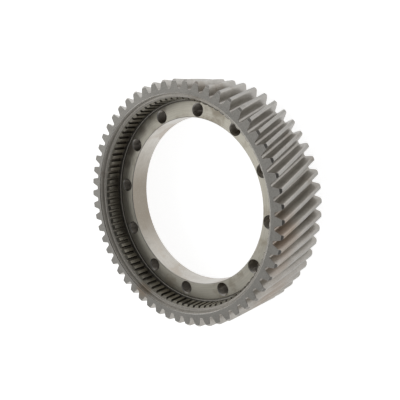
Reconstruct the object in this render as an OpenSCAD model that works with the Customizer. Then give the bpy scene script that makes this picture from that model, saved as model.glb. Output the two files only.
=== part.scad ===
/* [Outer teeth] */
// Number of helical teeth
tooth_count = 56; // [55:1:64]
// Normal module of the helical teeth
normal_module = 3.5; // [3.45:0.05:4]
// Helix angle at the pitch circle, left hand
helix_angle = 17; // [8:0.5:28]
// Normal pressure angle of the flanks
pressure_angle = 20; // [18:0.5:22]
// Addendum as a multiple of the module
addendum_factor = 1; // [0.8:0.05:1.1]
// Dedendum as a multiple of the module
dedendum_factor = 1.25; // [1.1:0.05:1.3]
// Radius of the fillet in the tooth roots
root_fillet = 1.45; // [1:0.05:1.6]
// Chamfer on the tooth tips at both end faces
tip_chamfer = 1.7; // [0.5:0.1:2.5]
// Face width of the gear, from the rear face to the front face
face_width = 62; // [55:1:90]
// Turn of the nearest tooth from a bolt hole, at the front face
tooth_turn = 0.8; // [-3:0.1:3]

/* [Rim and counterbore] */
// Wall of the rim under the tooth roots, at the front counterbore
rim_wall = 3.7; // [2.5:0.1:5]
// Depth of the front counterbore
counterbore_depth = 3.4; // [2:0.1:6]
// Edge break round the mouth of each recess
mouth_chamfer = 0.4; // [0.2:0.1:1]
// Length of the plain land between the counterbore and the lead-in cone
lead_land = 1; // [0.5:0.1:3]
// Clearance of the plain land over the roots of the internal teeth
lead_clearance = 0.9; // [0.4:0.1:1.4]

/* [Internal teeth] */
// Number of internal teeth
spline_count = 90; // [86:1:90]
// Module of the internal teeth
spline_module = 2; // [1.9:0.02:2]
// Height of the internal teeth above the pitch circle, towards the bore
spline_tip_height = 0.8; // [0.5:0.05:1.2]
// Depth of the spaces below the pitch circle, away from the bore
spline_root_depth = 1; // [0.6:0.05:1.4]
// Width of a space at the pitch circle
spline_space = 2.7; // [2.2:0.05:3.2]
// Slope of each side of a space
spline_flank_angle = 20; // [10:1:30]
// Distance from the end of the internal teeth to the flange face
runout_length = 3; // [2:0.1:6]
// Turn of the nearest space from a bolt hole
spline_turn = 2.2; // [0:0.1:4]

/* [Flange] */
// Diameter of the bore
bore_d = 147.5; // [120:0.5:149]
// Edge break at both ends of the bore
bore_chamfer = 0.5; // [0.2:0.1:1]
// Depth of the flange face below the front face
flange_depth = 22; // [16:0.5:32]
// Thickness of the flange
flange_t = 20; // [12:0.5:28]
// Width of the relief groove round the flange face
groove_width = 1.3; // [0.8:0.1:2]
// Depth of the relief groove below the flange face
groove_depth = 1.2; // [0.6:0.1:3]
// Height of the step outside the relief groove, above the flange face
step_height = 0.9; // [0.4:0.1:1.5]
// Radial width of that step inside the tips of the internal teeth
step_width = 0.4; // [0.2:0.1:1]

/* [Bolt holes] */
// Number of tapped holes in the flange
bolt_count = 12; // [4:1:24]
// Thread size of the tapped holes
bolt_thread_d = 12; // [8:1:12]
// Thread pitch of the tapped holes
bolt_pitch = 1.5; // [1:0.25:2]
// Distance from the bore wall to the bolt circle
bolt_inset = 6.75; // [6.6:0.05:7.2]
// Width of the countersink round each hole
bolt_countersink = 0.8; // [0.2:0.1:0.9]

/* [Rear recess] */
// Wall of the rim under the tooth roots, at the rear recess
rear_wall = 3.9; // [3:0.1:6]
// Fillet between the flange and the rear recess
rear_fillet = 3; // [1:0.5:5]

/* [Hidden] */
$fn = 240;

// Sizes of the outer teeth in the plane across the axis
pitch_r = tooth_count * normal_module / cos(helix_angle) / 2;
transverse_angle = atan(tan(pressure_angle) / cos(helix_angle));
base_r = pitch_r * cos(transverse_angle);
tip_r = pitch_r + addendum_factor * normal_module;
root_r = pitch_r - dedendum_factor * normal_module;
chamfer_r = tip_r - tip_chamfer;
twist_per_mm = tan(helix_angle) / pitch_r * 180 / PI;

// Heights, measured up from the rear face
front_z = face_width;
ledge_z = front_z - counterbore_depth;
lead_z = ledge_z - lead_land;
flange_z = front_z - flange_depth;
spline_end_z = flange_z + runout_length;
step_z = flange_z + step_height;
web_z = flange_z - flange_t;

// Radii of the recess, the internal teeth and the flange
counterbore_r = root_r - rim_wall;
rear_r = root_r - rear_wall;
bore_r = bore_d / 2;
spline_r = spline_count * spline_module / 2;
spline_tip_r = spline_r - spline_tip_height;
spline_root_r = spline_r + spline_root_depth;
lead_r = spline_root_r + lead_clearance;
step_r = spline_tip_r - step_width;
groove_r = step_r - groove_width;
bolt_circle_r = bore_r + bolt_inset;
bolt_hole_r = (bolt_thread_d - 1.0825 * bolt_pitch) / 2;

// Slices of the helix between the chamfered ends, and steps of an arc
helix_slices = 4;
flank_steps = 3;
arc_steps = 6;
overshoot = 1;

gear_grey = [0.56, 0.56, 0.54];

// Involute function of an angle, in degrees
function involute(a) = tan(a) * 180 / PI - a;

// Half the angle that a tooth takes up at radius r
function half_tooth(r) =
    90 / tooth_count + involute(transverse_angle) - involute(acos(base_r / r));

// A point at radius r and angle a
function polar(r, a) = [r * cos(a), r * sin(a)];

// Radii at which a flank has a point, from the fillet up to the tip
fillet_top_r = root_r + 0.85 * root_fillet;
flank_r = [
    for (i = [0 : flank_steps - 1]) fillet_top_r + (chamfer_r - fillet_top_r) * i / flank_steps,
    chamfer_r,
    tip_r
];
space_half = 180 / tooth_count;

// Corner between the fillet and the bottom of a space, as radius and angle from the space's middle
fillet_mid_r = root_r + 0.25 * root_fillet;
fillet_mid_angle = 0.62 * (space_half - half_tooth(fillet_top_r));

// Outline of one tooth, from the middle of one space to just before the next
function tooth_outline(top) = concat(
    [[root_r, -space_half], [fillet_mid_r, fillet_mid_angle - space_half]],
    [for (r = flank_r) [min(r, top), -half_tooth(r)]],
    [for (i = [len(flank_r) - 1 : -1 : 0]) [min(flank_r[i], top), half_tooth(flank_r[i])]],
    [[fillet_mid_r, space_half - fillet_mid_angle]]
);

// One ring of points at height z, with the tips cut down to radius top
function ring(z, top) =
    let (outline = tooth_outline(top), turn = tooth_turn + (face_width - z) * twist_per_mm)
    [
        for (t = [0 : tooth_count - 1], p = outline)
            let (a = p[1] + 2 * space_half * t + turn)
            [p[0] * cos(a), p[0] * sin(a), z]
    ];

ring_z = concat(
    [0],
    [for (i = [0 : helix_slices]) tip_chamfer + (face_width - 2 * tip_chamfer) * i / helix_slices],
    [face_width]
);
ring_count = len(ring_z);
outline_n = len(tooth_outline(tip_r));
ring_n = outline_n * tooth_count;

// Two triangles between neighbouring points of two rings, split so that the chamfer is a true cone
function side_pair(k, i) =
    let (
        j = (i + 1) % ring_n,
        a = k * ring_n + i,
        b = k * ring_n + j,
        c = (k + 1) * ring_n + j,
        d = (k + 1) * ring_n + i,
        rising = (i % outline_n) < outline_n / 2,
        at_rear = k < ring_count / 2
    )
    (rising == at_rear) ? [[a, c, b], [a, d, c]] : [[a, d, b], [b, d, c]];

// One end face: a fan for each tooth, and a wedge from its root chord to the axis
function end_face(first, centre, front) = [
    for (t = [0 : tooth_count - 1])
        let (s = first + t * outline_n, e = first + ((t + 1) % tooth_count) * outline_n)
        each concat(
            [for (i = [1 : outline_n - 2]) front ? [s, s + i + 1, s + i] : [s, s + i, s + i + 1]],
            [front ? [s, e, s + outline_n - 1] : [s, s + outline_n - 1, e]],
            [front ? [centre, e, s] : [centre, s, e]]
        )
];

// Solid disc with the helical teeth round it
module toothed_blank() {
    rear_centre = ring_count * ring_n;
    points = concat(
        [
            for (k = [0 : ring_count - 1])
                each ring(ring_z[k], (k == 0 || k == ring_count - 1) ? chamfer_r : tip_r)
        ],
        [[0, 0, 0], [0, 0, face_width]]
    );
    faces = concat(
        [for (k = [0 : ring_count - 2], i = [0 : ring_n - 1]) each side_pair(k, i)],
        end_face(0, rear_centre, false),
        end_face((ring_count - 1) * ring_n, rear_centre + 1, true)
    );
    polyhedron(points, faces, convexity = 10);
}

// Bore, recesses, relief grooves and edge breaks, as one turned shape
module turned_void() {
    fillet_centre = [rear_r - rear_fillet, web_z - rear_fillet];
    rotate_extrude()
        polygon(concat(
            [
                [0, front_z + overshoot],
                [counterbore_r + mouth_chamfer + overshoot, front_z + overshoot],
                [counterbore_r, front_z - mouth_chamfer],
                [counterbore_r, ledge_z],
                [lead_r, ledge_z],
                [lead_r, lead_z],
                [spline_tip_r, lead_z - (lead_r - spline_tip_r)],
                [spline_tip_r, spline_end_z],
                [lead_r, spline_end_z],
                [lead_r, step_z],
                [step_r, step_z],
                [step_r, flange_z - groove_depth],
                [groove_r, flange_z - groove_depth],
                [groove_r, flange_z],
                [bore_r + bore_chamfer, flange_z],
                [bore_r, flange_z - bore_chamfer],
                [bore_r, web_z + bore_chamfer],
                [bore_r + bore_chamfer, web_z]
            ],
            [
                for (i = [0 : arc_steps])
                    fillet_centre + polar(rear_fillet, 90 - 90 * i / arc_steps)
            ],
            [
                [rear_r, mouth_chamfer],
                [rear_r + mouth_chamfer + overshoot, -overshoot],
                [0, -overshoot]
            ]
        ));
}

// Spaces between the internal teeth, as one star that is cut through the tooth ring
module spline_spaces() {
    step = 360 / spline_count;
    inner_r = spline_tip_r - overshoot;
    tip_half = spline_space / 2 + (spline_r - inner_r) * tan(spline_flank_angle);
    root_half = spline_space / 2 - spline_root_depth * tan(spline_flank_angle);
    cut_top = lead_z + lead_land / 2;
    cut_bottom = (spline_end_z + step_z) / 2;
    corners = [
        [inner_r, -tip_half],
        [spline_root_r, -root_half],
        [spline_root_r, root_half],
        [inner_r, tip_half]
    ];
    translate([0, 0, cut_bottom])
        rotate(spline_turn)
            linear_extrude(cut_top - cut_bottom)
                polygon([
                    for (t = [0 : spline_count - 1], corner = corners)
                        polar(corner[0], t * step + corner[1] / corner[0] * 180 / PI)
                ]);
}

// Tapped holes at the thread's inner diameter, with a countersink on both sides
module bolt_holes() {
    rim_r = bolt_hole_r + bolt_countersink;
    for (t = [0 : bolt_count - 1])
        rotate(360 / bolt_count * t)
            translate([bolt_circle_r, 0, 0]) {
                translate([0, 0, web_z - overshoot])
                    cylinder(r = bolt_hole_r, h = flange_t + 2 * overshoot, $fn = 48);
                translate([0, 0, flange_z - bolt_countersink])
                    cylinder(r1 = bolt_hole_r, r2 = rim_r + overshoot, h = bolt_countersink + overshoot, $fn = 48);
                translate([0, 0, web_z - overshoot])
                    cylinder(r1 = rim_r + overshoot, r2 = bolt_hole_r, h = bolt_countersink + overshoot, $fn = 48);
            }
}

// The whole gear, one forging with every feature cut in it
module bull_gear() {
    color(gear_grey)
        difference() {
            toothed_blank();
            turned_void();
            spline_spaces();
            bolt_holes();
        }
}

bull_gear();
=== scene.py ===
import math
import bpy
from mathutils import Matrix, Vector


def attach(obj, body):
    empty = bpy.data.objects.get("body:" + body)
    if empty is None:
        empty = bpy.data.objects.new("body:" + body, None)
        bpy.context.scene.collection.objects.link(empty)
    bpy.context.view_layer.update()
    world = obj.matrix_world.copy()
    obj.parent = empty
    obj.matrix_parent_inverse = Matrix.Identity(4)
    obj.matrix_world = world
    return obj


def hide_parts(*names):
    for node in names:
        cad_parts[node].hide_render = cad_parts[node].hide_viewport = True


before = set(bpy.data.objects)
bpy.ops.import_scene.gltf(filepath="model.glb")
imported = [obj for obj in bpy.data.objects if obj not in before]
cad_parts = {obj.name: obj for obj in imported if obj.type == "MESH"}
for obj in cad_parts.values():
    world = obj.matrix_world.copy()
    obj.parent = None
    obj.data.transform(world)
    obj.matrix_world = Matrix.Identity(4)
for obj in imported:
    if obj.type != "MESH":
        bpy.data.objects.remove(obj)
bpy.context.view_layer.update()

# Sizes of the gear in metres, the same as in the CAD model
MM = 0.001
TOOTH_COUNT = 56
NORMAL_MODULE = 3.5 * MM
DEDENDUM = 1.25 * NORMAL_MODULE
HELIX_ANGLE = math.radians(17)
PRESSURE_ANGLE = math.radians(20)
ROOT_FILLET = 1.45 * MM
TIP_CHAMFER = 1.7 * MM
FACE_WIDTH = 62 * MM
TOOTH_TURN = math.radians(0.8)

RIM_WALL = 3.7 * MM
COUNTERBORE_DEPTH = 3.4 * MM
MOUTH_CHAMFER = 0.4 * MM
LEAD_LAND = 1.0 * MM
LEAD_CLEARANCE = 0.9 * MM

SPLINE_COUNT = 90
SPLINE_MODULE = 2 * MM
SPLINE_TIP_HEIGHT = 0.8 * MM
SPLINE_ROOT_DEPTH = 1.0 * MM
SPLINE_SPACE = 2.7 * MM
SPLINE_FLANK_ANGLE = math.radians(20)
RUNOUT_LENGTH = 3 * MM
SPLINE_TURN = math.radians(2.2)

BORE_D = 147.5 * MM
BORE_CHAMFER = 0.5 * MM
FLANGE_DEPTH = 22 * MM
FLANGE_T = 20 * MM
GROOVE_WIDTH = 1.3 * MM
GROOVE_DEPTH = 1.2 * MM
STEP_HEIGHT = 0.9 * MM
STEP_WIDTH = 0.4 * MM

BOLT_COUNT = 12
THREAD_D = 12 * MM
THREAD_PITCH = 1.5 * MM
THREAD_CUT = 1.0825 * THREAD_PITCH
BOLT_INSET = 6.75 * MM
COUNTERSINK = 0.8 * MM

REAR_WALL = 3.9 * MM
REAR_FILLET = 3 * MM

# Sizes that follow from the ones above
PITCH_R = TOOTH_COUNT * NORMAL_MODULE / math.cos(HELIX_ANGLE) / 2
TRANSVERSE_ANGLE = math.atan(math.tan(PRESSURE_ANGLE) / math.cos(HELIX_ANGLE))
BASE_R = PITCH_R * math.cos(TRANSVERSE_ANGLE)
TIP_R = PITCH_R + NORMAL_MODULE
ROOT_R = PITCH_R - DEDENDUM
CHAMFER_R = TIP_R - TIP_CHAMFER
TWIST = math.tan(HELIX_ANGLE) / PITCH_R
SPACE_HALF = math.pi / TOOTH_COUNT

LEDGE_Z = FACE_WIDTH - COUNTERBORE_DEPTH
LEAD_Z = LEDGE_Z - LEAD_LAND
FLANGE_Z = FACE_WIDTH - FLANGE_DEPTH
SPLINE_END_Z = FLANGE_Z + RUNOUT_LENGTH
STEP_Z = FLANGE_Z + STEP_HEIGHT
WEB_Z = FLANGE_Z - FLANGE_T

COUNTERBORE_R = ROOT_R - RIM_WALL
REAR_R = ROOT_R - REAR_WALL
BORE_R = BORE_D / 2
SPLINE_R = SPLINE_COUNT * SPLINE_MODULE / 2
SPLINE_TIP_R = SPLINE_R - SPLINE_TIP_HEIGHT
SPLINE_ROOT_R = SPLINE_R + SPLINE_ROOT_DEPTH
LEAD_R = SPLINE_ROOT_R + LEAD_CLEARANCE
STEP_R = SPLINE_TIP_R - STEP_WIDTH
GROOVE_R = STEP_R - GROOVE_WIDTH
BOLT_CIRCLE_R = BORE_R + BOLT_INSET
BOLT_HOLE_R = (THREAD_D - THREAD_CUT) / 2
AXIS = (0, 0)

# Fineness of the mesh
TURNED_STEPS = 360
FILLET_STEPS = 4
FLANK_STEPS = 4
CHAMFER_STEPS = 4
HELIX_STEPS = 12
SPLINE_STEPS = 3
REAR_FILLET_STEPS = 6
HOLE_STEPS = 24
THREAD_ROWS = 5
SHARP_ANGLE = math.radians(28)

# Broken and rounded edges, and the flat strips beside them
EDGE_BREAK = 0.2 * MM
TIP_CORNER = 0.35 * MM
CORNER_ROUND = 0.15 * MM
CORNER_SHARE = 0.45
STEP_RIM = 0.35 * MM
FACE_STRIP = 1.2 * MM
LEAD_STRIP = 0.5 * MM
FLANGE_STRIP = 0.5 * MM
BORE_STRIP = 0.2 * MM

# Corners of an internal space: their size, and shares of it in radius and in angle
SPLINE_EASE = 0.2 * MM
TIP_EASE = (0.8, 0.6)
FLOOR_EASE = (1.2, 0.3)
FLOOR_EASE_END = 1.3

# Thread: its depth, the height in which it fades out, and the shape of its flanks
THREAD_DEPTH = 0.6 * THREAD_PITCH
THREAD_FADE = 0.4 * THREAD_PITCH
THREAD_SLOPE = 1.3
THREAD_FLAT = 0.2

# Search for the place where the root fillet touches the flank
FLANK_REACH = 4 * ROOT_FILLET
FLANK_SAMPLES = 59
TOUCH_REACH = 3 * ROOT_FILLET
TOUCH_SAMPLES = 120
HALVINGS = 40
ROOT_LAND_MIN = 0.0005

# Slack in comparing two angles or two radii
ANGLE_SLACK = 1e-9
RADIUS_SLACK = 1e-7

# Camera
CAMERA_PLACE = (-0.3338, 0.0450, 0.4290)
CAMERA_TURN = (-11.261, 38.714, 154.677)
CAMERA_LENS = 52.71
SENSOR_WIDTH = 36
CLIP_START = 0.01

# Light: where the dim side of the room is, and how bright each part of the studio is
NEAR_SIDE = (-0.600, 0.100, 0.794)
ROOM_SPAN = (-0.75, 0.85)
ROOM_FAR = 1.1
ROOM_NEAR = 0.16
BACKDROP = 1.0
LAMPS = {
    "key": {"place": (0.80, -0.50, 0.90), "size": (0.9, 0.7), "power": 2.1},
}

# Floor
FLOOR_HALF = 6
FLOOR_Z = -0.0002
FLOOR_COLOUR = (0.55, 0.55, 0.55, 1)
FLOOR_ROUGH = 0.9
FLOOR_GLOW = 0.9
WHITE = (1, 1, 1, 1)

# Finishes, in the order of their material slots
FINISHES = [
    "flank", "land", "chamfer", "front", "edge", "wall", "mouth", "recess",
    "step", "spline", "gap", "flange", "bore", "thread", "rear",
]

# Plain steel: what a finish has where its own recipe says nothing else
PLAIN = {
    # Base colour
    "dark": (0.26, 0.245, 0.22),
    "light": (0.40, 0.385, 0.355),
    # Stains: colour, scale, the noise level where they start, and strength
    "stain": (0.22, 0.17, 0.12),
    "stain_scale": 22,
    "stain_from": 0.56,
    "stain_share": 0.5,
    # Scale of the clouds, density of the cut lines and how often they break
    "cloud": 55,
    "lines": 1800,
    "along": 4,
    # Shares of cut lines, fine mottle and dark grit in the colour
    "cut": 0.35,
    "mottle": 0.3,
    "grit": 0.25,
    # Range of roughness, share of turned sheen, height of the bumps, and metal
    "rough": (0.34, 0.46),
    "turned": 0,
    "bump": 0.3,
    "metal": 1,
    # Painted shade in hollows, the distance it looks round, and bare metal wear with a painted highlight
    # on edges
    "hollow_shade": 0.75,
    "reach": 0.003,
    "wear_and_highlight": 0.8,
    # Patches of another tone
    "spots": [],
    "spot_tint": (0.30, 0.22, 0.145),
}

# Patches: centre, size and strength of each
TEETH_SPOTS = [
    ((-0.0944, 0.0436, 0.056), 0.020, 0.4),
    ((-0.0876, 0.0560, 0.054), 0.024, 0.5),
    ((-0.0400, 0.0960, 0.035), 0.030, 0.5),
    ((-0.0700, 0.0760, 0.050), 0.016, 0.4),
]
FLANGE_SPOTS = [
    ((0.0279, -0.0796, 0.040), 0.008, 0.5),
    ((0.0510, -0.0688, 0.040), 0.009, 0.6),
    ((-0.0044, -0.0862, 0.040), 0.006, 0.4),
    ((0.0605, -0.0592, 0.040), 0.007, 0.5),
]
FRONT_SPOTS = [((0.0735, 0.0585, 0.060), 0.011, 0.6)]
# Painted shade: darker patches on the chamfers on the +X side and on the -X side.
CHAMFER_SHADE_SPOTS = [
    ((0.100, -0.020, 0.061), 0.11, 0.7),
    ((-0.0977, 0.0356, 0.061), 0.09, 0.8),
]
# Painted shade: a darker patch on the mouth chamfer on the +X side.
EDGE_SHADE_SPOTS = [((0.0850, 0.0000, 0.062), 0.13, 1.0)]
# Painted shade and light: on the +X side this patch darkens the internal teeth and lightens the spaces
# between them.
SPLINE_SHADE_AND_LIGHT_SPOTS = [((0.0865, -0.0250, 0.050), 0.055, 0.8)]
# Painted shade: a darker patch on the bore on the +X side.
BORE_SHADE_SPOTS = [((0.0690, -0.0215, 0.030), 0.062, 0.85)]

# Recipes: what each finish has of its own
RECIPES = {
    "flank": {
        "dark": (0.34, 0.32, 0.29), "light": (0.52, 0.50, 0.465),
        "stain": (0.30, 0.25, 0.19), "stain_share": 0.6, "cut": 0.15,
        "rough": (0.26, 0.36), "bump": 0.15, "metal": 0.85, "hollow_shade": 0.55,
        "spots": TEETH_SPOTS, "spot_tint": (0.37, 0.29, 0.23),
    },
    "land": {
        "dark": (0.32, 0.31, 0.285), "light": (0.50, 0.485, 0.46),
        "lines": 2200, "cut": 0.6, "mottle": 0.2,
        "rough": (0.38, 0.5), "metal": 0.9,
        "spots": TEETH_SPOTS,
    },
    # Painted shade: its patches darken the chamfers on the +X and -X sides.
    "chamfer": {
        "dark": (0.38, 0.36, 0.33), "light": (0.52, 0.50, 0.47),
        "cut": 0.3, "rough": (0.28, 0.36),
        "spots": CHAMFER_SHADE_SPOTS, "spot_tint": (0.22, 0.21, 0.195),
    },
    "front": {
        "dark": (0.265, 0.256, 0.236), "light": (0.445, 0.431, 0.40),
        "stain_share": 0.1, "cloud": 35, "cut": 0.15, "mottle": 0.5, "grit": 0.4,
        "rough": (0.50, 0.62), "metal": 0.85,
        "spots": FRONT_SPOTS,
    },
    # Painted highlight: the mouth chamfer is given a pale colour, and its patch adds painted shade on the
    # +X side.
    "edge": {
        "dark": (0.72, 0.70, 0.66), "light": (0.90, 0.88, 0.84),
        "cut": 0.2, "rough": (0.24, 0.32), "hollow_shade": 0, "wear_and_highlight": 0,
        "spots": EDGE_SHADE_SPOTS, "spot_tint": (0.17, 0.155, 0.13),
    },
    # Painted light: the counterbore wall is given a pale colour for light that does not reach it.
    "wall": {
        "dark": (0.60, 0.57, 0.52), "light": (0.85, 0.82, 0.76),
        "lines": 1500, "cut": 0.5, "rough": (0.48, 0.6), "metal": 0.2, "hollow_shade": 0.2,
        "spots": FRONT_SPOTS,
    },
    "mouth": {
        "dark": (0.35, 0.33, 0.295), "light": (0.63, 0.60, 0.55),
        "lines": 1500, "cut": 0.6, "rough": (0.48, 0.6), "metal": 0.7, "hollow_shade": 0.35,
        "spots": FRONT_SPOTS,
    },
    "recess": {
        "dark": (0.31, 0.29, 0.25), "light": (0.45, 0.425, 0.375),
        "rough": (0.38, 0.5), "metal": 0.7, "hollow_shade": 0.35, "wear_and_highlight": 1,
    },
    # Painted highlight: the small step is given a pale colour for a thin light line along its edge.
    "step": {
        "dark": (0.74, 0.70, 0.62), "light": (0.90, 0.86, 0.78),
        "rough": (0.35, 0.45), "metal": 0.3, "hollow_shade": 0, "reach": 0.0006, "wear_and_highlight": 1,
    },
    # Painted shade: its patch darkens the internal teeth on the +X side.
    "spline": {
        "dark": (0.21, 0.195, 0.16), "light": (0.36, 0.34, 0.285),
        "rough": (0.28, 0.4), "hollow_shade": 1, "reach": 0.007,
        "spots": SPLINE_SHADE_AND_LIGHT_SPOTS, "spot_tint": (0.12, 0.113, 0.095),
    },
    # Painted shade: the spaces between the internal teeth get a darker copy of the spline steel, and their
    # patch paints them lighter on the +X side.
    "gap": {
        "dark": (0.085, 0.076, 0.062), "light": (0.19, 0.175, 0.148),
        "rough": (0.4, 0.55), "hollow_shade": 0.35, "wear_and_highlight": 0,
        "spots": SPLINE_SHADE_AND_LIGHT_SPOTS, "spot_tint": (0.36, 0.335, 0.285),
    },
    "flange": {
        "dark": (0.57, 0.545, 0.46), "light": (0.81, 0.775, 0.68),
        "stain": (0.42, 0.355, 0.26), "stain_scale": 35, "stain_from": 0.5, "stain_share": 0.6,
        "cloud": 25, "lines": 1300, "cut": 0.45, "mottle": 0.15,
        "rough": (0.44, 0.56), "turned": 0.6, "metal": 0.8, "hollow_shade": 0.3,
        "spots": FLANGE_SPOTS, "spot_tint": (0.27, 0.215, 0.175),
    },
    # Painted shade: its patch darkens the bore on the +X side.
    "bore": {
        "dark": (0.48, 0.455, 0.41), "light": (0.66, 0.64, 0.60),
        "stain": (0.42, 0.34, 0.26), "stain_scale": 40, "stain_from": 0.46, "stain_share": 0.4,
        "cloud": 30, "cut": 0.3, "rough": (0.26, 0.36),
        "spots": BORE_SHADE_SPOTS, "spot_tint": (0.27, 0.235, 0.19),
    },
    "thread": {
        "dark": (0.42, 0.38, 0.33), "light": (0.62, 0.565, 0.49),
        "cut": 0.1, "metal": 0.9, "hollow_shade": 0.9, "reach": 0.0014, "wear_and_highlight": 0,
    },
    "rear": {"lines": 1300, "cut": 0.5, "turned": 0.3},
}

# Painted shade in hollows, bare metal wear with a painted highlight on edges, and how wide that shows on
# an edge
HOLLOW_SHADE_TINT = (0.04, 0.034, 0.026)
WEAR_AND_HIGHLIGHT_TINT = (0.80, 0.79, 0.77)
WEAR_AND_HIGHLIGHT_WIDTH = 0.0005

# Where each pattern begins and ends in the noise or the shading it is made from
NOISE_RANGE = (0.3, 0.7)
GRIT_RANGE = (0.55, 0.75)
SPOT_EDGE = (0.7, 1.5)
STAIN_EDGE = 0.16
HOLLOW_SHADE_RANGE = (0.3, 0.9)
OUTSIDE_RANGE = (0.6, 0.9)
BEND_RANGE = (0.75, 0.98)

SPECK_SCALE = 900
STAIN_DULLS = 0.15
CUT_DEPTH = 0.00006
PIT_DEPTH = 0.00008
HOLLOW_SHADE_SAMPLES = 8
WEAR_AND_HIGHLIGHT_SAMPLES = 6


class Skin:
    """Points and faces of one closed mesh, with a finish for each face."""

    def __init__(self):
        self.points = []
        self.faces = []
        self.finish = []

    def loop(self, points):
        start = len(self.points)
        self.points.extend(points)
        return list(range(start, start + len(points)))

    def face(self, corners, finish):
        self.faces.append(corners)
        self.finish.append(FINISHES.index(finish))

    def band(self, first, second, finish):
        count = len(first)
        for i in range(count):
            j = (i + 1) % count
            self.face((first[i], first[j], second[j], second[i]), finish)

    def angles(self, loop, centre):
        """Angle of each point of a loop round a centre, growing all the way."""
        found = []
        for k in loop:
            x, y, _ = self.points[k]
            a = math.atan2(y - centre[1], x - centre[0])
            while found and a < found[-1] - ANGLE_SLACK:
                a += math.tau
            found.append(a)
        return found

    def stitch(self, outer, inner, centre, up, finish):
        """Fills the flat ring between two loops that run the same way round a centre."""
        a_out = self.angles(outer, centre)
        a_in = self.angles(inner, centre)
        n, m = len(outer), len(inner)
        start = min(range(m), key=lambda k: abs(math.remainder(a_in[k] - a_out[0], math.tau)))
        inner = inner[start:] + inner[:start]
        a_in = [a_in[(start + k) % m] + (math.tau if start + k >= m else 0) for k in range(m)]
        shift = round((a_in[0] - a_out[0]) / math.tau) * math.tau
        a_in = [a - shift for a in a_in]
        a_out.append(a_out[0] + math.tau)
        a_in.append(a_in[0] + math.tau)
        i = j = 0
        while i < n or j < m:
            if j == m or (i < n and a_out[i + 1] + a_out[i] <= a_in[j + 1] + a_in[j]):
                corners = (outer[i], outer[(i + 1) % n], inner[j % m])
                i += 1
            else:
                corners = (outer[i % n], inner[(j + 1) % m], inner[j])
                j += 1
            self.face(corners if up else corners[::-1], finish)


def polar(r, a):
    return (r * math.cos(a), r * math.sin(a))


def turn_point(point, angle):
    c, s = math.cos(angle), math.sin(angle)
    return (point[0] * c - point[1] * s, point[0] * s + point[1] * c)


def involute(angle):
    return math.tan(angle) - angle


def half_tooth(r):
    """Half the angle of a tooth at radius r."""
    angle = math.acos(min(1, BASE_R / r))
    return math.pi / 2 / TOOTH_COUNT + involute(TRANSVERSE_ANGLE) - involute(angle)


def flank_radii(reach, samples):
    """Radii from the root outward, at which the flank is compared with the fillet."""
    return [ROOT_R + reach * k / samples for k in range(samples + 1)]


def flank_distance(r, centre):
    """Distance from a centre to the flank's point at radius r."""
    x, y = polar(r, -half_tooth(r))
    return math.hypot(x - centre[0], y - centre[1])


def fillet_angle():
    """Angle of the fillet's centre, where the fillet just touches the flank."""
    centre_r = ROOT_R + ROOT_FILLET
    low, high = -SPACE_HALF, -half_tooth(centre_r)
    radii = flank_radii(FLANK_REACH, FLANK_SAMPLES)
    for _ in range(HALVINGS):
        middle = (low + high) / 2
        centre = polar(centre_r, middle)
        if min(flank_distance(r, centre) for r in radii) > ROOT_FILLET:
            low = middle
        else:
            high = middle
    return low


def tooth_profile():
    """Radius and angle of the points of one tooth, from the middle of a space to its end."""
    centre_a = fillet_angle()
    centre = polar(ROOT_R + ROOT_FILLET, centre_a)
    touch_r = min(flank_radii(TOUCH_REACH, TOUCH_SAMPLES), key=lambda r: flank_distance(r, centre))
    touch = polar(touch_r, -half_tooth(touch_r))
    start = math.pi + centre_a
    end = math.atan2(touch[1] - centre[1], touch[0] - centre[0]) % math.tau
    half = [(ROOT_R, -SPACE_HALF)]
    first = 0 if centre_a > -SPACE_HALF + ROOT_LAND_MIN else 1
    for k in range(first, FILLET_STEPS):
        dx, dy = polar(ROOT_FILLET, start + (end - start) * k / FILLET_STEPS)
        x, y = centre[0] + dx, centre[1] + dy
        half.append((math.hypot(x, y), math.atan2(y, x)))
    for k in range(FLANK_STEPS):
        r = touch_r + (CHAMFER_R - touch_r) * k / FLANK_STEPS
        half.append((r, -half_tooth(r)))
    for k in range(CHAMFER_STEPS):
        r = CHAMFER_R + TIP_CHAMFER * k / CHAMFER_STEPS
        half.append((r, -half_tooth(r)))
    half.append((TIP_R, -half_tooth(TIP_R) + TIP_CORNER / TIP_R))
    mirrored = [(r, -a) for r, a in reversed(half[1:])]
    return half + [(TIP_R, 0)] + mirrored


def inset(profile, amount):
    """Moves the profile into the metal by amount, for the broken edge at an end face."""
    pitch = 2 * SPACE_HALF
    flat = [polar(r, a) for r, a in profile]
    path = [turn_point(flat[-1], -pitch)] + flat + [turn_point(flat[0], pitch)]
    moved = []
    for k in range(1, len(path) - 1):
        dx = path[k + 1][0] - path[k - 1][0]
        dy = path[k + 1][1] - path[k - 1][1]
        size = math.hypot(dx, dy)
        x = path[k][0] - dy / size * amount
        y = path[k][1] + dx / size * amount
        moved.append((math.hypot(x, y), math.atan2(y, x)))
    return moved


def tooth_ring(profile, z, top):
    """All teeth at height z, with the tips cut down to radius top."""
    turn = TOOTH_TURN + (FACE_WIDTH - z) * TWIST
    points = []
    for t in range(TOOTH_COUNT):
        for r, a in profile:
            x, y = polar(min(r, top), a + 2 * SPACE_HALF * t + turn)
            points.append((x, y, z))
    return points


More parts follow.
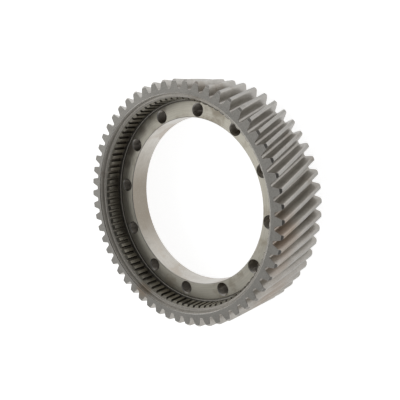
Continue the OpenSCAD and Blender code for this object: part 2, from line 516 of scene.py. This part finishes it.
def outer_band(skin, low, high, count, at_rear, tops):
    """Faces between two rings of teeth. At a chamfer they are split so that it stays a true cone."""
    total = len(low)
    tip = "land" if at_rear is None else "chamfer"

    def is_cut(loop, k, top):
        x, y, _ = skin.points[loop[k]]
        return math.hypot(x, y) > top - RADIUS_SLACK

    def fill(*corners):
        cut = all(is_cut(low, k, tops[0]) if on_low else is_cut(high, k, tops[1]) for on_low, k in corners)
        skin.face(tuple((low if on_low else high)[k] for on_low, k in corners), tip if cut else "flank")

    for i in range(total):
        j = (i + 1) % total
        if at_rear is None:
            fill((True, i), (True, j), (False, j), (False, i))
        elif (i % count <= count // 2) == at_rear:
            fill((True, i), (True, j), (False, j))
            fill((True, i), (False, j), (False, i))
        else:
            fill((True, i), (True, j), (False, i))
            fill((True, j), (False, j), (False, i))


def tooth_rings():
    """Height, tip radius, profile and side of each ring. The side is None between the chamfers."""
    profile = tooth_profile()
    broken = inset(profile, EDGE_BREAK)
    cone = TIP_CHAMFER - EDGE_BREAK
    rings = [(0.0, CHAMFER_R, broken, True)]
    for k in range(CHAMFER_STEPS):
        share = k / CHAMFER_STEPS
        rings.append((EDGE_BREAK + cone * share, CHAMFER_R + TIP_CHAMFER * share, profile, True))
    for k in range(HELIX_STEPS + 1):
        z = TIP_CHAMFER + (FACE_WIDTH - 2 * TIP_CHAMFER) * k / HELIX_STEPS
        rings.append((z, TIP_R, profile, None if k < HELIX_STEPS else False))
    for k in reversed(range(CHAMFER_STEPS)):
        share = k / CHAMFER_STEPS
        z = FACE_WIDTH - EDGE_BREAK - cone * share
        rings.append((z, CHAMFER_R + TIP_CHAMFER * share, profile, False))
    rings.append((FACE_WIDTH, CHAMFER_R, broken, False))
    return rings


def build_teeth(skin):
    """Outer teeth from the rear face to the front face. Returns the first and the last loop."""
    rings = tooth_rings()
    count = len(rings[0][2])
    loops = [skin.loop(tooth_ring(profile, z, top)) for z, top, profile, _ in rings]
    for k in range(len(loops) - 1):
        tops = (rings[k][1], rings[k + 1][1])
        outer_band(skin, loops[k], loops[k + 1], count, rings[k][3], tops)
    return loops[0], loops[-1]


def circle(r, z):
    points = []
    for k in range(TURNED_STEPS):
        x, y = polar(r, math.tau * k / TURNED_STEPS)
        points.append((x, y, z))
    return points


def rounded(path):
    """Path of (r, z, finish) with each corner inside it cut by a small round."""
    found = [path[0]]
    for k in range(1, len(path) - 1):
        here = Vector(path[k][:2])
        back = Vector(path[k - 1][:2]) - here
        ahead = Vector(path[k + 1][:2]) - here
        cut = min(CORNER_ROUND, back.length * CORNER_SHARE, ahead.length * CORNER_SHARE)
        a = here + back.normalized() * cut
        b = here + ahead.normalized() * cut
        middle = (a + b) / 4 + here / 2
        found.extend((point.x, point.y, path[k][2]) for point in (a, middle, b))
    found.append(path[-1])
    return found


def turned(skin, path):
    """Turned surface along a path of (r, z, finish). Returns its first and last loop."""
    loops = [skin.loop(circle(r, z)) for r, z, _ in path]
    for k in range(len(loops) - 1):
        skin.band(loops[k], loops[k + 1], path[k + 1][2])
    return loops[0], loops[-1]


def spline_profile():
    """Radius and angle of the points of one internal space, corner by corner."""
    slope = math.tan(SPLINE_FLANK_ANGLE)
    tip_half = (SPLINE_SPACE / 2 + SPLINE_TIP_HEIGHT * slope) / SPLINE_TIP_R
    root_half = (SPLINE_SPACE / 2 - SPLINE_ROOT_DEPTH * slope) / SPLINE_ROOT_R
    ease = SPLINE_EASE
    ease_a = SPLINE_EASE / SPLINE_R
    side = [
        (SPLINE_TIP_R, -tip_half - ease_a),
        (SPLINE_TIP_R + ease * TIP_EASE[0], -tip_half + ease_a * TIP_EASE[1]),
        (SPLINE_ROOT_R - ease * FLOOR_EASE[0], -root_half - ease_a * FLOOR_EASE[1]),
        (SPLINE_ROOT_R, -root_half + ease_a * FLOOR_EASE_END),
    ]
    return side + [(r, -a) for r, a in reversed(side)]


def spline_ring(z, floor_r):
    """All internal spaces at height z, cut back to radius floor_r by the lead-in cone."""
    points = []
    for t in range(SPLINE_COUNT):
        for r, a in spline_profile():
            x, y = polar(max(r, floor_r), a + math.tau * t / SPLINE_COUNT + SPLINE_TURN)
            points.append((x, y, z))
    return points


def spline_band(skin, high, low, on_cone):
    """Faces between two rings of internal spaces. The corners and the tip belong to the tooth."""
    count = len(spline_profile())
    total = len(high)
    for i in range(total):
        j = (i + 1) % total
        a, b, c, d = high[i], high[j], low[j], low[i]
        if not on_cone:
            in_gap = 1 <= i % count <= count - 3
            skin.face((a, b, c, d), "gap" if in_gap else "spline")
        elif i % count < count // 2:
            skin.face((a, b, d), "spline")
            skin.face((b, c, d), "spline")
        else:
            skin.face((a, b, c), "spline")
            skin.face((a, c, d), "spline")


def build_spline(skin, above, below):
    """Internal teeth, from the lead-in cone above them to the runout groove below them."""
    radii = sorted({r for r, _ in spline_profile()}, reverse=True)
    rings = [spline_ring(LEAD_Z - (LEAD_R - r), r) for r in radii]
    top_z = LEAD_Z - (LEAD_R - SPLINE_TIP_R)
    for k in range(1, SPLINE_STEPS + 1):
        rings.append(spline_ring(top_z + (SPLINE_END_Z - top_z) * k / SPLINE_STEPS, 0))
    loops = [skin.loop(points) for points in rings]
    skin.stitch(above, loops[0], AXIS, True, "mouth")
    for k in range(len(loops) - 1):
        spline_band(skin, loops[k], loops[k + 1], k < len(radii) - 1)
    skin.stitch(below, loops[-1], AXIS, False, "spline")


def flange_face(skin, outer, inner, holes, up):
    """Flat flange face between two circles, with a round hole in each sector."""
    share = TURNED_STEPS // BOLT_COUNT
    for t, hole in enumerate(holes):
        first = t * share - share // 2
        span = range(first, first + share + 1)
        far = [outer[k % TURNED_STEPS] for k in span]
        near = [inner[k % TURNED_STEPS] for k in reversed(span)]
        centre = polar(BOLT_CIRCLE_R, math.tau * t / BOLT_COUNT)
        skin.stitch(far + near, hole, centre, up, "flange" if up else "rear")


def hole_ring(t, z, radius_at):
    """Ring of points round hole t, with a radius for each share of a turn."""
    angle = math.tau * t / BOLT_COUNT
    cx, cy = polar(BOLT_CIRCLE_R, angle)
    points = []
    for k in range(HOLE_STEPS):
        dx, dy = polar(radius_at(k / HOLE_STEPS), math.tau * k / HOLE_STEPS + angle)
        points.append((cx + dx, cy + dy, z))
    return points


def thread_radius(z, top, bottom):
    """Radius of the thread at height z, as a function of the share of a turn."""
    fade = max(0, min(1, (top - z) / THREAD_FADE, (z - bottom) / THREAD_FADE))

    def at(share):
        phase = (z / THREAD_PITCH - share) % 1
        ramp = abs(2 * phase - 1)
        return BOLT_HOLE_R + THREAD_DEPTH * fade * min(1, max(0, ramp * THREAD_SLOPE - THREAD_FLAT))
    return at


def build_hole(skin, t):
    """Tapped hole with its thread and countersinks. Returns its loops on both faces."""
    mouth_r = BOLT_HOLE_R + COUNTERSINK
    top, bottom = FLANGE_Z - COUNTERSINK, WEB_Z + COUNTERSINK
    rows = round((top - bottom) / THREAD_PITCH * THREAD_ROWS)
    rings = [(FLANGE_Z, lambda share: mouth_r)]
    for k in range(rows + 1):
        z = top + (bottom - top) * k / rows
        rings.append((z, thread_radius(z, top, bottom)))
    rings.append((WEB_Z, lambda share: mouth_r))
    loops = [skin.loop(hole_ring(t, z, radius_at)) for z, radius_at in rings]
    for k in range(len(loops) - 1):
        skin.band(loops[k], loops[k + 1], "thread" if 0 < k < len(loops) - 2 else "chamfer")
    return loops[0], loops[-1]


def front_path():
    """Section from the front face through the counterbore to the start of the lead-in cone."""
    mouth_r = COUNTERBORE_R + MOUTH_CHAMFER
    return rounded([
        (mouth_r + FACE_STRIP, FACE_WIDTH, "front"),
        (mouth_r, FACE_WIDTH, "front"),
        (COUNTERBORE_R, FACE_WIDTH - MOUTH_CHAMFER, "edge"),
        (COUNTERBORE_R, LEDGE_Z, "wall"),
        (LEAD_R, LEDGE_Z, "mouth"),
        (LEAD_R, LEAD_Z, "mouth"),
        (LEAD_R - LEAD_STRIP, LEAD_Z - LEAD_STRIP, "mouth"),
    ])


def groove_path():
    """Section from the runout groove over the small step and the relief groove to the flange."""
    groove_z = FLANGE_Z - GROOVE_DEPTH
    return rounded([
        (LEAD_R, SPLINE_END_Z, "recess"),
        (LEAD_R, STEP_Z, "recess"),
        (STEP_R + STEP_RIM, STEP_Z, "recess"),
        (STEP_R, STEP_Z, "step"),
        (STEP_R, FLANGE_Z, "step"),
        (STEP_R, groove_z, "recess"),
        (GROOVE_R, groove_z, "recess"),
        (GROOVE_R, FLANGE_Z, "recess"),
        (GROOVE_R - FLANGE_STRIP, FLANGE_Z, "flange"),
    ])


def bore_path():
    """Section down the bore, from the flange's front face to its rear face."""
    mouth_r = BORE_R + BORE_CHAMFER
    return rounded([
        (mouth_r + BORE_STRIP, FLANGE_Z, "flange"),
        (mouth_r, FLANGE_Z, "flange"),
        (BORE_R, FLANGE_Z - BORE_CHAMFER, "chamfer"),
        (BORE_R, (FLANGE_Z + WEB_Z) / 2, "bore"),
        (BORE_R, WEB_Z + BORE_CHAMFER, "bore"),
        (mouth_r, WEB_Z, "chamfer"),
        (mouth_r + BORE_STRIP, WEB_Z, "rear"),
    ])


def rear_path():
    """Section of the rear recess, from the fillet at the flange to the rear face."""
    fillet = []
    for k in range(REAR_FILLET_STEPS + 1):
        dr, dz = polar(REAR_FILLET, math.radians(90 - 90 * k / REAR_FILLET_STEPS))
        fillet.append((REAR_R - REAR_FILLET + dr, WEB_Z - REAR_FILLET + dz, "rear"))
    mouth_r = REAR_R + MOUTH_CHAMFER
    return fillet + rounded([
        (REAR_R, WEB_Z / 2, "rear"),
        (REAR_R, MOUTH_CHAMFER, "rear"),
        (mouth_r, 0, "rear"),
        (mouth_r + FACE_STRIP, 0, "rear"),
    ])


def build_gear():
    """The whole gear as one closed mesh, followed round its section."""
    skin = Skin()
    rear_teeth, front_teeth = build_teeth(skin)
    front_inner, above = turned(skin, front_path())
    skin.stitch(front_teeth, front_inner, AXIS, True, "front")
    below, flange_outer = turned(skin, groove_path())
    build_spline(skin, above, below)
    flange_inner, web_inner = turned(skin, bore_path())
    holes = [build_hole(skin, t) for t in range(BOLT_COUNT)]
    flange_face(skin, flange_outer, flange_inner, [front for front, _ in holes], True)
    web_outer, rear_inner = turned(skin, rear_path())
    flange_face(skin, web_outer, web_inner, [rear for _, rear in holes], False)
    skin.stitch(rear_teeth, rear_inner, AXIS, False, "rear")
    return skin


def make_object(name, skin, materials):
    mesh = bpy.data.meshes.new(name)
    mesh.from_pydata(skin.points, [], skin.faces)
    for material in materials:
        mesh.materials.append(material)
    mesh.polygons.foreach_set("material_index", skin.finish)
    mesh.polygons.foreach_set("use_smooth", [True] * len(skin.faces))
    mesh.update()
    mesh.set_sharp_from_angle(angle=SHARP_ANGLE)
    piece = bpy.data.objects.new(name, mesh)
    bpy.context.scene.collection.objects.link(piece)
    even = piece.modifiers.new("even", "WEIGHTED_NORMAL")
    even.mode = "FACE_AREA"
    even.keep_sharp = True
    return piece


def add(tree, kind, values=None, **settings):
    """New shader node. Each value is a number, a colour, a vector or another node's socket."""
    made = tree.nodes.new("ShaderNode" + kind)
    for key, value in settings.items():
        setattr(made, key, value)
    for key, value in (values or {}).items():
        socket = made.inputs[key]
        if isinstance(value, bpy.types.NodeSocket):
            tree.links.new(value, socket)
        else:
            socket.default_value = value
    return made


def noise(tree, vector, scale, detail=3.0, roughness=0.5):
    values = {"Vector": vector, "Scale": scale, "Detail": detail, "Roughness": roughness}
    return add(tree, "TexNoise", values).outputs["Fac"]


def spread(tree, value, low, high, start=0.0, end=1.0):
    """Maps low..high of a value to start..end, with a soft start and end."""
    values = {0: value, 1: low, 2: high, 3: start, 4: end}
    return add(tree, "MapRange", values, interpolation_type="SMOOTHSTEP").outputs[0]


def mix(tree, share, first, second):
    """Mix of two colours. In this node they are sockets 6 and 7, and the result is socket 2."""
    made = add(tree, "Mix", {0: share}, data_type="RGBA")
    for socket, value in ((made.inputs[6], first), (made.inputs[7], second)):
        if isinstance(value, bpy.types.NodeSocket):
            tree.links.new(value, socket)
        else:
            socket.default_value = (*value, 1)
    return made.outputs[2]


def math_node(tree, operation, first, second):
    return add(tree, "Math", {0: first, 1: second}, operation=operation).outputs[0]


def turned_vector(tree, place, density, along):
    """Coordinates in which a noise becomes fine lines round the gear's axis, without a seam."""
    parts = add(tree, "SeparateXYZ", {0: place})
    flat = add(tree, "CombineXYZ", {0: parts.outputs[0], 1: parts.outputs[1]}).outputs[0]
    radius = add(tree, "VectorMath", {0: flat}, operation="LENGTH").outputs["Value"]
    across = math_node(tree, "ADD", radius, parts.outputs[2])
    lines = math_node(tree, "MULTIPLY", across, density)
    unit = add(tree, "VectorMath", {0: flat}, operation="NORMALIZE").outputs[0]
    scaled = add(tree, "VectorMath", {0: unit, "Scale": along}, operation="SCALE").outputs[0]
    pair = add(tree, "SeparateXYZ", {0: scaled})
    return add(tree, "CombineXYZ", {0: lines, 1: pair.outputs[0], 2: pair.outputs[1]}).outputs[0]


def base_colour(tree, recipe, cut, cloud, speck):
    """Dark to light steel, after the clouds, the cut lines and the fine specks."""
    base = spread(tree, cloud, *NOISE_RANGE, 0, 1 - recipe["cut"] - recipe["mottle"])
    base = math_node(tree, "ADD", base, spread(tree, cut, *NOISE_RANGE, 0, recipe["cut"]))
    tone = math_node(tree, "ADD", base, spread(tree, speck, *NOISE_RANGE, 0, recipe["mottle"]))
    return mix(tree, tone, recipe["dark"], recipe["light"])


def add_spots(tree, recipe, colour, place, patch):
    """Colour with the recipe's patches on it, each with a torn edge."""
    for centre, size, share in recipe["spots"]:
        away = add(tree, "VectorMath", {0: place, 1: centre}, operation="DISTANCE").outputs["Value"]
        torn = math_node(tree, "ADD", math_node(tree, "DIVIDE", away, size), patch)
        colour = mix(tree, spread(tree, torn, *SPOT_EDGE, share, 0), colour, recipe["spot_tint"])
    return colour


def add_hollow_shade_edge_wear_and_highlight(tree, recipe, colour):
    """Colour with painted shade in the hollows, and bare metal wear with a painted highlight on the outer
    edges.
    """
    values = {"Distance": recipe["reach"]}
    hollows = add(tree, "AmbientOcclusion", values, samples=HOLLOW_SHADE_SAMPLES, only_local=True)
    open_share = hollows.outputs["AO"]
    # Painted shade: the colour is darkened where the hollows close in round it.
    colour = mix(tree, spread(tree, open_share, *HOLLOW_SHADE_RANGE, recipe["hollow_shade"], 0), colour, HOLLOW_SHADE_TINT)
    eased = add(tree, "Bevel", {"Radius": WEAR_AND_HIGHLIGHT_WIDTH}, samples=WEAR_AND_HIGHLIGHT_SAMPLES).outputs["Normal"]
    true_normal = add(tree, "NewGeometry").outputs["Normal"]
    bend = add(tree, "VectorMath", {0: eased, 1: true_normal}, operation="DOT_PRODUCT").outputs["Value"]
    outside = spread(tree, open_share, *OUTSIDE_RANGE)
    # Bare metal wear and a painted highlight: the colour is lightened on the outer edges.
    blended = math_node(tree, "MULTIPLY", spread(tree, bend, *BEND_RANGE, recipe["wear_and_highlight"], 0), outside)
    return mix(tree, blended, colour, WEAR_AND_HIGHLIGHT_TINT)


def roughness_of(tree, recipe, cut, cloud, stain):
    """Roughness that follows the cut lines, the clouds and the stains."""
    low, high = recipe["rough"]
    lines = spread(tree, cut, *NOISE_RANGE, low, (low + high) / 2)
    blended = math_node(tree, "ADD", lines, math_node(tree, "MULTIPLY", cloud, (high - low) / 2))
    return math_node(tree, "ADD", blended, math_node(tree, "MULTIPLY", stain, STAIN_DULLS))


def normal_of(tree, recipe, cut, speck):
    """Fine relief of cut lines and pits."""
    strength = recipe["bump"]
    fine = add(tree, "Bump", {"Strength": strength, "Distance": CUT_DEPTH, "Height": cut}).outputs[0]
    values = {"Strength": strength, "Distance": PIT_DEPTH, "Height": speck, "Normal": fine}
    return add(tree, "Bump", values).outputs[0]


def steel(name, recipe):
    """Steel with cut marks round the axis, cloudy tone, stains, and a finish that varies with them."""
    material = bpy.data.materials.new("steel_" + name)
    material.use_nodes = True
    tree = material.node_tree
    shader = tree.nodes["Principled BSDF"]
    place = add(tree, "TexCoord").outputs["Object"]
    lines = turned_vector(tree, place, recipe["lines"], recipe["along"])
    cut = noise(tree, lines, 1, detail=2)
    cloud = noise(tree, place, recipe["cloud"], detail=4, roughness=0.6)
    speck = noise(tree, place, SPECK_SCALE, detail=2)
    colour = base_colour(tree, recipe, cut, cloud, speck)
    patch = noise(tree, place, recipe["stain_scale"], detail=5, roughness=0.65)
    stain_from = recipe["stain_from"]
    stain = spread(tree, patch, stain_from, stain_from + STAIN_EDGE, 0, recipe["stain_share"])
    colour = mix(tree, stain, colour, recipe["stain"])
    # Patches: some are stains, and some are painted shade or painted light, as said where they are listed.
    colour = add_spots(tree, recipe, colour, place, patch)
    grit = spread(tree, speck, *GRIT_RANGE, 0, recipe["grit"])
    colour = mix(tree, grit, colour, recipe["dark"])
    colour = add_hollow_shade_edge_wear_and_highlight(tree, recipe, colour)
    tree.links.new(colour, shader.inputs["Base Color"])
    shader.inputs["Metallic"].default_value = recipe["metal"]
    tree.links.new(roughness_of(tree, recipe, cut, cloud, stain), shader.inputs["Roughness"])
    if recipe["turned"]:
        shader.inputs["Anisotropic"].default_value = recipe["turned"]
        tangent = add(tree, "Tangent", direction_type="RADIAL", axis="Z")
        tree.links.new(tangent.outputs[0], shader.inputs["Tangent"])
    tree.links.new(normal_of(tree, recipe, cut, speck), shader.inputs["Normal"])
    return material


def seen_directly(tree):
    """1 for camera, glossy and transmission rays, 0 for the rest."""
    path = add(tree, "LightPath").outputs
    first = math_node(tree, "MAXIMUM", path["Is Camera Ray"], path["Is Glossy Ray"])
    return math_node(tree, "MAXIMUM", first, path["Is Transmission Ray"])


def make_floor():
    """Wide pale floor that shows white to the camera and keeps the object's shadow."""
    mesh = bpy.data.meshes.new("floor")
    corners = [
        (-FLOOR_HALF, -FLOOR_HALF, FLOOR_Z),
        (FLOOR_HALF, -FLOOR_HALF, FLOOR_Z),
        (FLOOR_HALF, FLOOR_HALF, FLOOR_Z),
        (-FLOOR_HALF, FLOOR_HALF, FLOOR_Z),
    ]
    mesh.from_pydata(corners, [], [(0, 1, 2, 3)])
    floor = bpy.data.objects.new("floor", mesh)
    bpy.context.scene.collection.objects.link(floor)
    material = bpy.data.materials.new("floor_white")
    material.use_nodes = True
    tree = material.node_tree
    shader = tree.nodes["Principled BSDF"]
    shader.inputs["Base Color"].default_value = FLOOR_COLOUR
    shader.inputs["Roughness"].default_value = FLOOR_ROUGH
    shader.inputs["Emission Color"].default_value = WHITE
    glow = math_node(tree, "MULTIPLY", seen_directly(tree), FLOOR_GLOW)
    tree.links.new(glow, shader.inputs["Emission Strength"])
    mesh.materials.append(material)


def make_world():
    """Studio that is white behind the object and dim on the near side."""
    world = bpy.data.worlds.new("studio")
    bpy.context.scene.world = world
    world.use_nodes = True
    tree = world.node_tree
    background = tree.nodes["Background"]
    background.inputs["Color"].default_value = WHITE
    direction = add(tree, "TexCoord").outputs["Generated"]
    near = add(tree, "VectorMath", {0: direction, 1: NEAR_SIDE}, operation="DOT_PRODUCT").outputs["Value"]
    values = {0: near, 1: ROOM_SPAN[0], 2: ROOM_SPAN[1], 3: ROOM_FAR, 4: ROOM_NEAR}
    level = add(tree, "MapRange", values).outputs[0]
    camera = add(tree, "LightPath").outputs["Is Camera Ray"]
    strength = add(tree, "Mix", {0: camera, 2: level, 3: BACKDROP}, data_type="FLOAT").outputs[0]
    tree.links.new(strength, background.inputs["Strength"])


def make_lamp(name, place, size, power):
    """Rectangular lamp that points at the middle of the gear."""
    data = bpy.data.lights.new(name, "AREA")
    data.shape = "RECTANGLE"
    data.size, data.size_y = size
    data.energy = power
    lamp = bpy.data.objects.new(name, data)
    lamp.location = place
    aim = Vector((0, 0, FACE_WIDTH / 2)) - Vector(place)
    lamp.rotation_euler = aim.to_track_quat("-Z", "Y").to_euler()
    bpy.context.scene.collection.objects.link(lamp)


def make_camera():
    data = bpy.data.cameras.new("camera")
    data.lens = CAMERA_LENS
    data.sensor_width = SENSOR_WIDTH
    data.clip_start = CLIP_START
    camera = bpy.data.objects.new("camera", data)
    camera.location = CAMERA_PLACE
    camera.rotation_euler = [math.radians(a) for a in CAMERA_TURN]
    bpy.context.scene.collection.objects.link(camera)
    bpy.context.scene.camera = camera


def main():
    scene = bpy.context.scene
    scene.view_settings.view_transform = "Standard"
    make_camera()
    make_world()
    make_floor()
    for name, lamp in LAMPS.items():
        make_lamp(name, **lamp)
    materials = [steel(name, {**PLAIN, **RECIPES[name]}) for name in FINISHES]
    gear = make_object("gear_body", build_gear(), materials)
    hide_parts("bull_gear")
    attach(gear, "root")


main()
